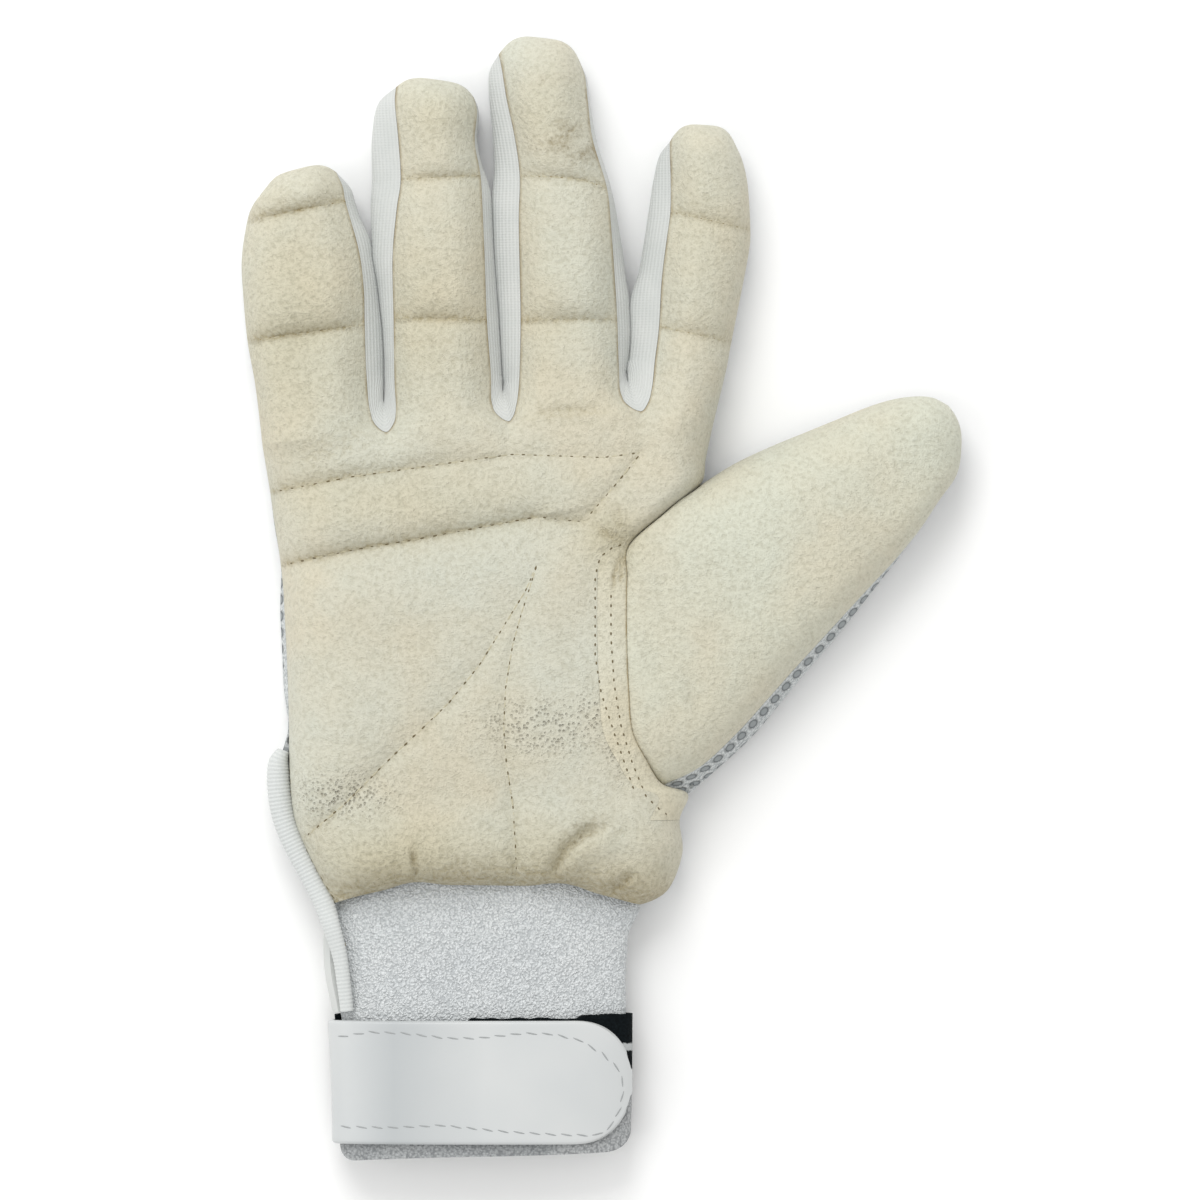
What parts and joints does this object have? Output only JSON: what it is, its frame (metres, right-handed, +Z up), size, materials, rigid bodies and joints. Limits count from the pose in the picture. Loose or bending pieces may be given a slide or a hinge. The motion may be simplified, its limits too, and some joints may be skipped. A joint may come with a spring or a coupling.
{
  "type": "wicketkeeping inner glove",
  "caption": "Padded chamois inner glove lying palm up, with knitted finger gussets, mesh back, elastic wrist and a closing strap.",
  "frame": {"origin": "under the middle of the glove's bounding box, on the floor", "axes": "+Y runs to the fingertips, +X to the thumb and +Z up out of the palm"},
  "size_m": [0.1598, 0.2494, 0.0215],
  "materials": {
    "chamois": "matte",
    "chamois_band": "matte",
    "knit": "matte",
    "mesh": "matte",
    "boucle": "matte",
    "ribbed": "matte",
    "dark_elastic": "matte",
    "loop_fabric": "matte",
    "coated_strap": "satin"
  },
  "bodies": {
    "root": {"front_panel": "chamois", "thumb_seam_band": "chamois_band", "thumb_front": "chamois", "thumb_back": "mesh", "back_panel": "mesh", "gusset_little_ring": "knit", "gusset_ring_middle": "knit", "gusset_middle_index": "knit", "cuff": "boucle", "vent_knit_fold": "knit", "wrist_band": "dark_elastic", "loop_patch": "loop_fabric", "strap": "coated_strap", "vent_binding": "ribbed"}
  },
  "joints": []
}
